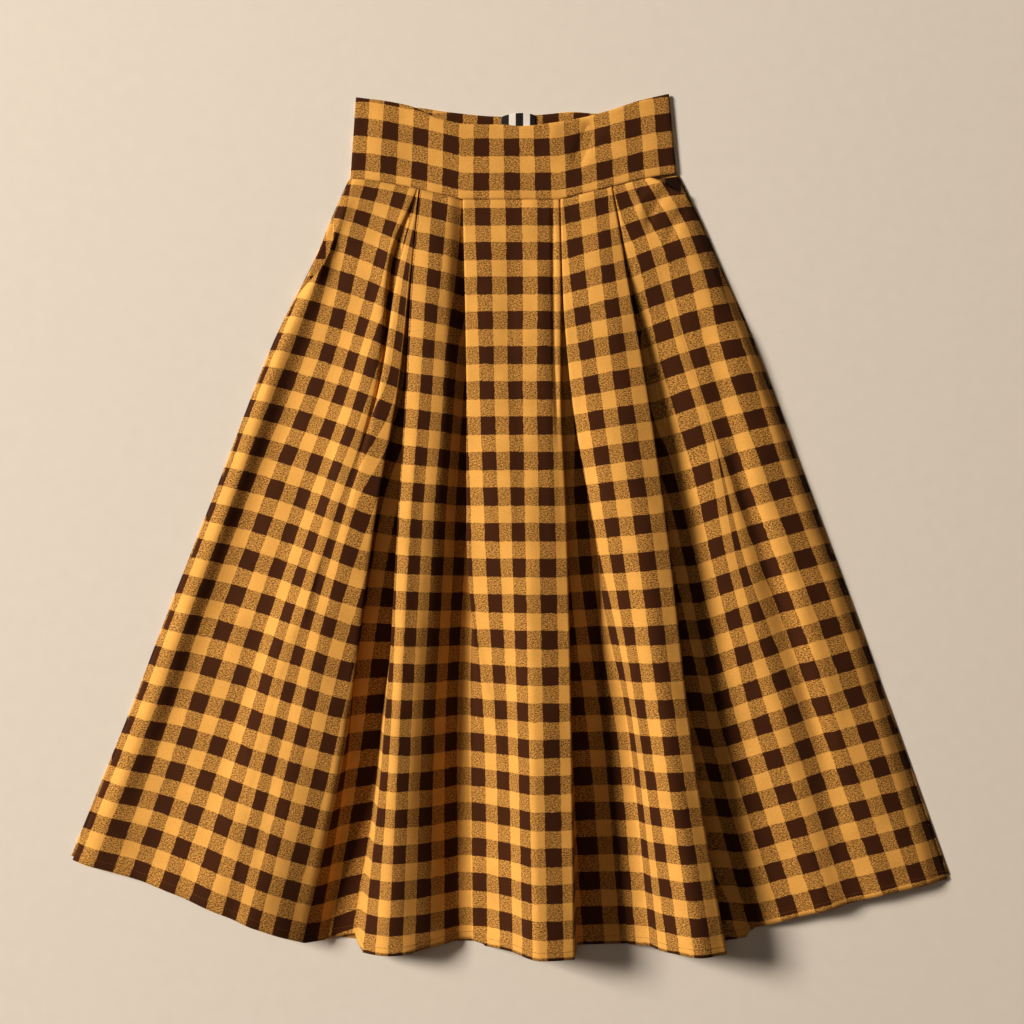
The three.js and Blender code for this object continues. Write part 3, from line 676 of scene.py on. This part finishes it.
def check_stripes(tree, position, repeat, centre, part):
    """A mask that is 1 on dark stripes: part of each repeat, about centre, with soft edges."""
    turns = maths(tree, "DIVIDE", maths(tree, "SUBTRACT", position, centre), repeat)
    rest = maths(tree, "FRACT", maths(tree, "ADD", turns, 0.5))
    away = maths(tree, "ABSOLUTE", maths(tree, "SUBTRACT", rest, 0.5))
    soft = 0.35 / repeat
    ends = {"From Min": part / 2 - soft, "From Max": part / 2 + soft, "To Min": 1.0, "To Max": 0.0}
    settings = {"interpolation_type": "SMOOTHSTEP"}
    return add_node(tree, "ShaderNodeMapRange", settings, {"Value": away, **ends}).outputs["Result"]


def gingham_cotton(name, width, height, warp_centre, weft_centre, shade=1.0):
    """Brushed cotton twill, yarn dyed and woven in a gingham check, then napped.

    It gives the eye a matt, slightly furry surface: solid squares where both yarns are the same
    colour, and a fine slanting mottle where they differ. A shade below 1 darkens it all over, as painted
    shade.
    """
    material = new_material(name)
    if material is None:
        return bpy.data.materials[name]
    colours = bpy.context.scene.skirt_colours
    tree = material.node_tree
    mm = weave_place(tree)
    wander = add_node(tree, "ShaderNodeTexNoise", {}, {"Vector": mm, "Scale": 0.09, "Detail": 3.0})
    middle = {0: wander.outputs["Color"], 1: (0.5, 0.5, 0.5)}
    centred = add_node(tree, "ShaderNodeVectorMath", {"operation": "SUBTRACT"}, middle)
    amount = {0: centred.outputs[0], "Scale": 2.6}
    drawn = add_node(tree, "ShaderNodeVectorMath", {"operation": "SCALE"}, amount)
    moved = add_node(tree, "ShaderNodeVectorMath", {"operation": "ADD"}, {0: mm, 1: drawn.outputs[0]})
    axes = add_node(tree, "ShaderNodeSeparateXYZ", {}, {0: moved.outputs[0]})
    warp = check_stripes(tree, axes.outputs["X"], 2 * width, warp_centre, CHECK_PART)
    weft = check_stripes(tree, axes.outputs["Y"], 2 * height, weft_centre, CHECK_PART)
    both = maths(tree, "ADD", warp, weft)
    apart = maths(tree, "ABSOLUTE", maths(tree, "SUBTRACT", both, 1.0))
    mixed = maths(tree, "SUBTRACT", 1.0, apart)
    # twill lines are 0.6 mm apart in the real cloth: drawn about 1 mm apart to show in the render
    slanted = {"Vector": mm, "Rotation": (0, 0, 0.72), "Scale": (0.42, 1.05, 1)}
    slant = add_node(tree, "ShaderNodeMapping", {}, slanted)
    fibre = cloud(tree, slant.outputs[0], 1.0, 4.0, 0.62)
    slub = cloud(tree, mm, 0.9, 3.0, 0.6)
    yarns = spread(tree, maths(tree, "ADD", fibre, slub), (0.86, 1.14), (0.08, 0.94))
    broken = maths(tree, "MULTIPLY", maths(tree, "SUBTRACT", yarns, 0.5), mixed)
    share = maths(tree, "ADD", maths(tree, "MULTIPLY", both, 0.5), broken, clamp=True)
    cloth = blend(tree, share, colours.mustard, colours.brown)
    # nap and wear: broad tonal drift and small light flecks of raised fibre
    fleck = cloud(tree, mm, 0.45, 5.0, 0.7)
    tone = maths(tree, "ADD", cloud(tree, mm, 0.022, 2.0), fleck)
    # a shade below 1 scales the whole colour down: painted shade
    value = spread(tree, tone, (0.7, 1.3), (0.87 * shade, 1.13 * shade))
    nap = maths(tree, "ADD", maths(tree, "MULTIPLY", fibre, 0.6), fleck)
    shader = close_material(
        tree,
        toned(tree, cloth, value),
        Roughness=0.92,
        Specular_IOR_Level=0.25,
        Sheen_Weight=0.05,
        Sheen_Roughness=0.5,
        Normal=bump_of(tree, nap, 0.35, 0.0008),
    )
    shader.inputs["Sheen Tint"].default_value = (1.0, 0.86, 0.66, 1)
    return material


def spun_thread(name, colour, roughness=0.8):
    """Spun polyester sewing thread or zip tape: matt, with the fine ribs of its plies."""
    material = new_material(name)
    tree = material.node_tree
    place = add_node(tree, "ShaderNodeTexCoord")
    # plies are under 0.3 mm: drawn at 1 mm to show at all
    ribs = cloud(tree, place.outputs["Object"], 900.0, 2.0)
    base = toned(tree, (*colour, 1), spread(tree, ribs, (0, 1), (0.75, 1.25)))
    close_material(tree, base, Roughness=roughness, Normal=bump_of(tree, ribs, 0.3, 0.0003))
    return material


def front_grid(sizes, rows=176):
    """Upper and lower grids of the front's cloth, its uvs, and each point's t and column's hem."""
    readings = np.linspace(0, LEVELS[-1], 202)
    *tables, hems = front_rows(readings)
    side = LINES["side_right"]["x"][0]
    # the corner under the right end of the band hangs down and opens the pocket
    start = RIGHT_MOUTH["drop"] * smooth(side - RIGHT_MOUTH["inward"], side, tables[0][:, 0])
    t = mix(start[None], hems[None], (np.arange(rows + 1) / rows)[:, None])
    u = reading(t, hems[None])
    x, z, s = (
        np.stack([np.interp(u[:, k], readings, table[k]) for k in range(len(hems))], axis=1)
        for table in tables
    )
    y = row_y(x, t, u)
    # soft hand: creases, and the small unevenness of cloth that was worn and folded
    room = smooth(1.6, 9, z)
    lift = relief(x, y, CREASES)
    lift += sum(amount * soft_noise(x, y, scale, seed) for amount, scale, seed in SOFT_HAND)
    # puckers where the pleats are sewn into the waist seam
    lift += PUCKER["lift"] * np.exp(-t / PUCKER["reach"]) * np.sin(s * 3.1 + 0.8 * np.sin(s * 1.3))
    # the hem stands in slight waves
    above = hems[None] - t
    lift += HEM_WAVE["lift"] * np.exp(-above / HEM_WAVE["reach"]) * np.sin(s * 2.2 + 1.4)
    z = z + lift * room
    normal = sheet_normals(x, y, z)
    half = sizes.cloth / MM / 2
    # the turned hem is three layers of cloth
    thick = half * (1 + 1.1 * smooth(-0.6, 0.6, sizes.hem / MM - above))
    middle = np.stack([x, y, z], axis=-1)
    upper = middle + normal * thick[..., None]
    lower = middle - normal * thick[..., None]
    uvs = np.stack([s * sizes.check_width / MM, t], axis=-1)
    return upper, lower, uvs, t, hems


def skirt_cloth(name="brushed_gingham_cotton", shade=1.0):
    """The skirt's own cloth, whose first dark column is the second one of the middle panel."""
    sizes = bpy.context.scene.skirt_sizes
    width = sizes.check_width / MM
    return gingham_cotton(name, width, sizes.check_height / MM, 1.5 * width, FIRST_WEFT, shade)


def sheet_piece(name, upper, lower, u, v, material, node):
    """A piece made of a sheet with thickness, whose weave runs by u across and v down, in mm."""
    uv = np.stack([u + 0 * v, v + 0 * u], axis=-1)
    if upper[0, 0, 0] > upper[0, -1, 0]:
        upper, lower, uv = upper[:, ::-1], lower[:, ::-1], uv[:, ::-1]
    vertices, faces = closed_sheet(upper, lower)
    uv = uv.reshape(-1, 2)
    return new_piece(name, vertices, faces, np.concatenate([uv, uv]), material, node)


def flat_piece(name, x, y, low, high, u, v, material, node):
    """A piece made of a sheet that lies between the heights low and high over the plan x, y."""
    upper, lower = (np.stack([x, y, z + 0 * x], axis=-1) for z in (high, low))
    return sheet_piece(name, upper, lower, u, v, material, node)


class SKIRT_OT_front(bpy.types.Operator):
    """Makes the front: one width of gingham, pleated into the waist seam and fallen open to the hem"""

    bl_idname = "skirt.front"
    bl_label = "Front"

    def execute(self, context):
        upper, lower, uvs, _, _ = front_grid(context.scene.skirt_sizes)
        cloth = skirt_cloth()
        front = sheet_piece("front_cloth", upper, lower, uvs[..., 0], uvs[..., 1], cloth, "skirt_front")
        return {"FINISHED"}


def back_grid(side, rows=60):
    """Plan of half of the back, from the centre back seam to the side: x, y and t."""
    line = LINES["side_left" if side < 0 else "side_right"]
    side_hem = HEM["left_outer" if side < 0 else "right_outer"] - HEM["back_shorter"]
    shortens = (0.32, 0.45) if side < 0 else (0.44, 0.58)
    part = np.concatenate([np.linspace(0, 1, 29), [1.0]])[None]
    out = np.concatenate([np.zeros(29), [SLIVER]])[None]
    hem = mix(HEM["front"] - HEM["back_shorter"], side_hem, smooth(*shortens, part))
    t = mix(0.0, hem, (np.arange(rows + 1) / rows)[:, None])
    u = reading(t, hem)
    beside_zip = t <= ZIP["length"] + 2
    zip_room = np.where(beside_zip, ZIP["half_width"] + SEAM_GAP, SEAM_GAP / 2)
    inner = CENTRE_BACK + side * zip_room
    x = mix(inner, level(line["x"], u), part)
    y = row_y(x, t, u)
    return x + side * out, y, t


class SKIRT_OT_back(bpy.types.Operator):
    """Makes the two halves of the back, flat on the surface, with the seam down the centre back"""

    bl_idname = "skirt.back"
    bl_label = "Back"

    def execute(self, context):
        cloth = skirt_cloth()
        for side, name in SIDES:
            x, y, t = back_grid(side)
            high = BACK_WALL + 0.12 * soft_noise(x, y, 30.0, 5.0)
            node = f"skirt_back_{name}"
            back = flat_piece(f"back_{name}_cloth", x, y, 0, high, x + BACK_WEAVE, t, cloth, node)
        return {"FINISHED"}


def top_y(table, x):
    return through([p[0] for p in table], [p[1] for p in table], x)


def waist_y(x):
    """y of the waist seam on the front."""
    return row_y(x, np.zeros_like(x), np.zeros_like(x))


class SKIRT_OT_waistband(bpy.types.Operator):
    """Makes the deep waistband: its front, and the two halves of its back that show in the scoop"""

    bl_idname = "skirt.waistband"
    bl_label = "Waistband"

    def execute(self, context):
        cloth = gingham_cotton("waistband_gingham_cotton", 16.6, 18.5, 0.0, FIRST_WEFT)
        u = np.linspace(0, 1, 151)[None]
        v = np.linspace(1, 0, 49)[:, None]
        foot = mix(LINES["side_left"]["x"][0], LINES["side_right"]["x"][0], u)
        head = mix(FRONT_TOP[0][0], FRONT_TOP[-1][0], u)
        x = mix(foot, head, v)
        low = waist_y(foot) + SEAM_GAP
        y = mix(low, top_y(FRONT_TOP, head), v)
        base = BAND_BACK_WALL + SEAM_GAP + BAND_LIFT * smooth(0, 0.09, u) * smooth(0, 0.09, 1 - u) + 0 * v
        lift = relief(x, y, BAND_CREASES) + 0.35 * soft_noise(x, y, 22.0, 2.0)
        # the seam puckers a little along the waist
        lift += 0.35 * np.exp(-v * 9) * np.sin(x * 0.21)
        lift *= smooth(0, 0.05, u) * smooth(0, 0.05, 1 - u)
        # turned edges roll over at the top, the foot and both ends
        roll = 1.0 * smooth(0.965, 1.0, v) + 0.7 * smooth(0.97, 1.0, 1 - v)
        roll = roll + 0.9 * (1 - smooth(0, 0.012, u)) + 0.9 * (1 - smooth(0, 0.012, 1 - u))
        high = base + BAND_FRONT_WALL + lift * 0.8 - roll
        under = base + np.clip(lift, -0.2, 0.5) * 0.4 + 0.05
        across, node = mix(foot, head, 0.35), "waistband_front"
        front = flat_piece(f"{node}_cloth", x, y, under, high, across, y - low, cloth, node)
        for side, name in SIDES:
            part = np.linspace(0, 1, 41)[None]
            v = np.linspace(1, 0, 21)[:, None]
            inner = CENTRE_BACK + side * (ZIP["half_width"] + SEAM_GAP)
            foot = mix(inner, LINES[f"side_{name}"]["x"][0], part)
            head = mix(inner, BACK_TOP[0 if side < 0 else -1][0], part)
            x = mix(foot, head, v)
            y = mix(waist_y(foot) + BAND_BACK_GAP, top_y(BACK_TOP, head), v)
            high, node = BAND_BACK_WALL - 0.5 * smooth(0.96, 1, v), f"waistband_back_{name}"
            across, down = x + BAND_WEAVE[name], y - BAND_WEAVE["down"]
            back = flat_piece(f"{node}_cloth", x, y, 0, high, across, down, cloth, node)
        return {"FINISHED"}


class SKIRT_OT_pockets(bpy.types.Operator):
    """Makes the facings that show in the two pocket mouths"""

    bl_idname = "skirt.pockets"
    bl_label = "Pockets"

    def execute(self, context):
        for side, name in SIDES:
            facing = FACINGS[name]
            # the facing's shade below 1 darkens its cloth: painted shade in the right pocket mouth
            cloth = skirt_cloth(f"pocket_{name}_cotton", facing["shade"])
            f = np.linspace(0, 1, 33)[:, None]
            t = mix(facing["from"], facing["to"], f)
            outer = level(LINES[f"side_{name}"]["x"], t) + side * (SLIVER - 1)
            # widest in the middle, and narrower towards both ends
            width = facing["width"] * (0.45 + 0.55 * np.sin(np.pi * (8 * f + 1) / 10))
            x = outer - side * width * np.linspace(0, 1, 13)[None]
            y = row_y(x, t + 0 * x, t + 0 * x)
            low, node = BACK_WALL + SEAM_GAP, f"pocket_{name}"
            high = low + FACING_WALL + 0.12 * np.sin(y * 0.22)
            across, down = x + facing["across"], SEAM_Y - y + facing["down"]
            piece = flat_piece(f"{node}_cloth", x, y, low, high, across, down, cloth, node)
        return {"FINISHED"}


class SKIRT_OT_closure(bpy.types.Operator):
    """Makes the concealed zip's tape at the centre back, closed"""

    bl_idname = "skirt.closure"
    bl_label = "Centre back zip"

    def execute(self, context):
        tape = spun_thread("woven_zip_tape", context.scene.skirt_colours.tape, 0.7)
        top = float(top_y(BACK_TOP, CENTRE_BACK)) - ZIP["below_top"]
        bottom = SEAM_Y - ZIP["length"] + SEAM_GAP
        k = np.linspace(-1, 1, 9)[None]
        y = mix(top, bottom, np.linspace(0, 1, 121)[:, None]) + 0 * k
        x = CENTRE_BACK + ZIP["half_width"] * k + 0 * y
        # the coil shows as a ribbed line under the middle of the tape
        coil = ZIP["coil"] * np.exp(-((k / 0.35) ** 2)) * (0.6 + 0.4 * np.sin(y * 2.0))
        upper = np.stack([x, y, ZIP["wall"] + coil], axis=-1)
        lower = np.stack([x, y, np.zeros_like(x)], axis=-1)
        vertices, faces = closed_sheet(upper, lower)
        zip_piece = new_piece("zip_tape", vertices, faces, None, tape, "zip")
        return {"FINISHED"}


def label_weave():
    """Damask polyester: smooth and fine, black with light blocks, a thread grid and some gloss."""
    colours = bpy.context.scene.skirt_colours
    material = new_material("damask_woven_label")
    tree = material.node_tree
    mm = weave_place(tree)
    axes = add_node(tree, "ShaderNodeSeparateXYZ", {}, {0: mm})
    # two light blocks side by side, 7.5 mm wide and 15.5 mm apart
    blocks = check_stripes(tree, axes.outputs["X"], 15.5, 12.3, 0.47)
    low = maths(tree, "GREATER_THAN", axes.outputs["X"], 4.6)
    high = maths(tree, "LESS_THAN", axes.outputs["X"], 33.0)
    shown = maths(tree, "MULTIPLY", blocks, maths(tree, "MULTIPLY", low, high))
    face = blend(tree, shown, colours.label, colours.label_block)
    normal = bump_of(tree, cloud(tree, mm, 1.4, 3.0), 0.3, 0.0004)
    close_material(tree, face, Roughness=0.55, Normal=normal)
    return material


class SKIRT_OT_label(bpy.types.Operator):
    """Makes the woven label at the centre back: black with two plain light blocks and no text"""

    bl_idname = "skirt.label"
    bl_label = "Label"

    def execute(self, context):
        material = label_weave()
        u = np.linspace(0, 1, 33)[None]
        v = np.linspace(0, 1, 19)[:, None]
        x = LABEL["left"] + LABEL["width"] * u + 0 * v
        arch = LABEL["arch"] * (np.sin(np.pi * u) ** 0.45 - 1)
        y = top_y(BACK_TOP, x) + LABEL["above"] + arch - LABEL["depth"] * v
        z = BAND_BACK_WALL + SEAM_GAP + 1.2 * np.sin(np.pi * u) * (1 - v)
        across, down = LABEL["width"] * u, LABEL["depth"] * v
        high = z + LABEL["wall"]
        piece = flat_piece("label_cloth", x, y, z, high, across, down, material, "label")
        return {"FINISHED"}


def stitch_tree():
    """Geometry Nodes: one stitch at every step along a path, turned to follow it."""
    tree = bpy.data.node_groups.new("stitches_along_path", "GeometryNodeTree")
    sockets = {
        "Geometry": "Geometry",
        "Pitch": "Float",
        "Length": "Float",
        "Thread": "Float",
        "Seed": "Int",
        "Material": "Material",
    }
    for name, kind in sockets.items():
        tree.interface.new_socket(name, in_out="INPUT", socket_type=f"NodeSocket{kind}")
    tree.interface.new_socket("Geometry", in_out="OUTPUT", socket_type="NodeSocketGeometry")
    given = add_node(tree, "NodeGroupInput").outputs
    path = add_node(tree, "GeometryNodeMeshToCurve", {}, {0: given["Geometry"]})
    spaced = {"Curve": path.outputs[0], "Length": given["Pitch"]}
    steps = add_node(tree, "GeometryNodeResampleCurve", {"mode": "LENGTH"}, spaced)
    tangent = add_node(tree, "GeometryNodeInputTangent")
    turn = add_node(tree, "FunctionNodeAlignRotationToVector", {"axis": "Z"}, {"Vector": tangent.outputs[0]})
    shape = {"Vertices": 6, "Radius": given["Thread"], "Depth": given["Length"]}
    stitch = add_node(tree, "GeometryNodeMeshCylinder", {}, shape)
    spans = {"Min": 0.85, "Max": 1.1, "Seed": given["Seed"]}
    vary = add_node(tree, "FunctionNodeRandomValue", {"data_type": "FLOAT"}, spans)
    factor = next(o for o in vary.outputs if o.enabled)
    copies = {"Points": steps.outputs[0], "Instance": stitch.outputs["Mesh"], "Rotation": turn.outputs[0]}
    placed = add_node(tree, "GeometryNodeInstanceOnPoints", {}, {**copies, "Scale": factor})
    real = add_node(tree, "GeometryNodeRealizeInstances", {}, {0: placed.outputs[0]})
    dress = {"Geometry": real.outputs[0], "Material": given["Material"]}
    dressed = add_node(tree, "GeometryNodeSetMaterial", {}, dress)
    add_node(tree, "NodeGroupOutput", {}, {0: dressed.outputs[0]})
    return tree


def sew(name, path, sizes, material):
    """A run of stitches along a path of points in drafting mm, as a plain mesh."""
    mesh = bpy.data.meshes.new(name + "_path")
    points = [((x - ORIGIN[0]) * MM, (y - ORIGIN[1]) * MM, z * MM) for x, y, z in path]
    mesh.from_pydata(points, [(i, i + 1) for i in range(len(points) - 1)], [])
    guide = place_object(name + "_path", mesh)
    tree = stitch_tree()
    modifier = guide.modifiers.new("Stitches", "NODES")
    modifier.node_group = tree
    values = {
        "Pitch": sizes.stitch,
        "Length": sizes.stitch * STITCH_SHARE,
        "Thread": sizes.thread / 2,
        "Seed": 7,
        "Material": material,
    }
    for item in tree.interface.items_tree:
        if item.item_type == "SOCKET" and item.in_out == "INPUT" and item.name in values:
            modifier[item.identifier] = values[item.name]
    bpy.context.view_layer.update()
    shown = guide.evaluated_get(bpy.context.evaluated_depsgraph_get())
    plain = bpy.data.meshes.new_from_object(shown)
    bpy.data.objects.remove(guide)
    if not plain.materials:
        plain.materials.append(material)
    obj = place_object(name, plain)
    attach(obj, "root")
    return obj


class SKIRT_OT_sewing(bpy.types.Operator):
    """Sews the line of stitches that holds the turned-up hem of the front"""

    bl_idname = "skirt.sewing"
    bl_label = "Hem stitching"

    def execute(self, context):
        sizes = context.scene.skirt_sizes
        upper, _, _, t, hems = front_grid(sizes)
        thread = spun_thread("spun_sewing_thread", context.scene.skirt_colours.thread)
        line = []
        for k, hem in enumerate(hems):
            at = hem - (sizes.hem / MM - STITCH_INSET)
            line.append([np.interp(at, t[:, k], upper[:, k, axis]) for axis in range(3)])
        line = np.array(line)
        line[:, 2] += 0.1
        sew("hem_stitches", line.tolist(), sizes, thread)
        return {"FINISHED"}


# Soft boxes: where they hang in metres, their size, their power in watts and their colour
LAMPS = {
    "key_light": {"at": (-7.0, 2.5, 5.0), "size": 2.4, "power": 945.0, "colour": "FFF2E2"},
    "fill_light": {"at": (1.6, -0.8, 2.6), "size": 2.6, "power": 1.2, "colour": "FFA45C"},
    "top_light": {"at": (-0.3, 0.3, 3.0), "size": 1.6, "power": 7.0, "colour": "FFF2E2"},
}
LAMPS_AIM = (0, -0.05, 0)
ROOM = {"colour": "FFDFC0", "strength": 0.028}
FLOOR = {"half": 6.0, "z": -0.0004}
LENS = {"length": 50.2, "sensor": 36.0}


class SKIRT_OT_stage(bpy.types.Operator):
    """Lays the pale floor, hangs the soft lights and sets the camera straight above"""

    bl_idname = "skirt.stage"
    bl_label = "Stage"

    def execute(self, context):
        scene = context.scene
        material = new_material("matt_paper_sweep")
        tree = material.node_tree
        place = add_node(tree, "ShaderNodeTexCoord")
        grain = cloud(tree, place.outputs["Object"], 60.0, 4.0)
        shade = spread(tree, grain, (0, 1), (0.97, 1.03))
        close_material(tree, toned(tree, (*scene.skirt_colours.floor, 1), shade), Roughness=0.9)
        mesh = bpy.data.meshes.new("floor")
        half, z = FLOOR["half"], FLOOR["z"]
        corners = [(-half, -half, z), (half, -half, z), (half, half, z), (-half, half, z)]
        mesh.from_pydata(corners, [], [(0, 1, 2, 3)])
        mesh.materials.append(material)
        place_object("floor", mesh)

        for name, given in LAMPS.items():
            lamp = bpy.data.lights.new(name, "AREA")
            lamp.shape = "SQUARE"
            lamp.size = given["size"]
            lamp.energy = given["power"]
            lamp.color = linear(given["colour"])
            obj = place_object(name, lamp)
            obj.location = given["at"]
            aim = Vector(LAMPS_AIM) - Vector(given["at"])
            obj.rotation_euler = aim.to_track_quat("-Z", "Y").to_euler()
        world = bpy.data.worlds.new("soft_room")
        world.use_nodes = True
        background = world.node_tree.nodes["Background"]
        background.inputs["Color"].default_value = (*linear(ROOM["colour"]), 1)
        background.inputs["Strength"].default_value = ROOM["strength"]
        scene.world = world

        lens = bpy.data.cameras.new("camera")
        lens.lens = LENS["length"]
        lens.sensor_width = LENS["sensor"]
        camera = place_object("camera", lens)
        place = (-ORIGIN[0] * MM, -ORIGIN[1] * MM, scene.skirt_sizes.camera_height)
        camera.matrix_world = Matrix.Translation(place)
        scene.camera = camera
        scene.view_settings.view_transform = "Standard"
        scene.view_settings.look = "Medium High Contrast"
        return {"FINISHED"}


class SKIRT_PT_panel(bpy.types.Panel):
    """Lists the skirt's sizes, colours and pieces"""

    bl_idname = "SKIRT_PT_panel"
    bl_label = "Swing skirt"
    bl_space_type = "VIEW_3D"
    bl_region_type = "UI"
    bl_category = "Skirt"

    def draw(self, context):
        column = self.layout.column()
        for group in (context.scene.skirt_sizes, context.scene.skirt_colours):
            for name in group.__annotations__:
                column.prop(group, name)
        for operator in OPERATORS:
            column.operator(operator.bl_idname)


OPERATORS = (
    SKIRT_OT_front,
    SKIRT_OT_back,
    SKIRT_OT_waistband,
    SKIRT_OT_pockets,
    SKIRT_OT_closure,
    SKIRT_OT_label,
    SKIRT_OT_sewing,
    SKIRT_OT_stage,
)
CLASSES = (SkirtSizes, SkirtColours, *OPERATORS, SKIRT_PT_panel)


def register():
    for cls in CLASSES:
        bpy.utils.register_class(cls)
    bpy.types.Scene.skirt_sizes = bpy.props.PointerProperty(type=SkirtSizes)
    bpy.types.Scene.skirt_colours = bpy.props.PointerProperty(type=SkirtColours)


def unregister():
    del bpy.types.Scene.skirt_colours
    del bpy.types.Scene.skirt_sizes
    for cls in reversed(CLASSES):
        bpy.utils.unregister_class(cls)


def main():
    register()
    bpy.ops.skirt.front()
    bpy.ops.skirt.back()
    bpy.ops.skirt.waistband()
    bpy.ops.skirt.pockets()
    bpy.ops.skirt.closure()
    bpy.ops.skirt.label()
    bpy.ops.skirt.sewing()
    bpy.ops.skirt.stage()


if __name__ == "__main__":
    main()
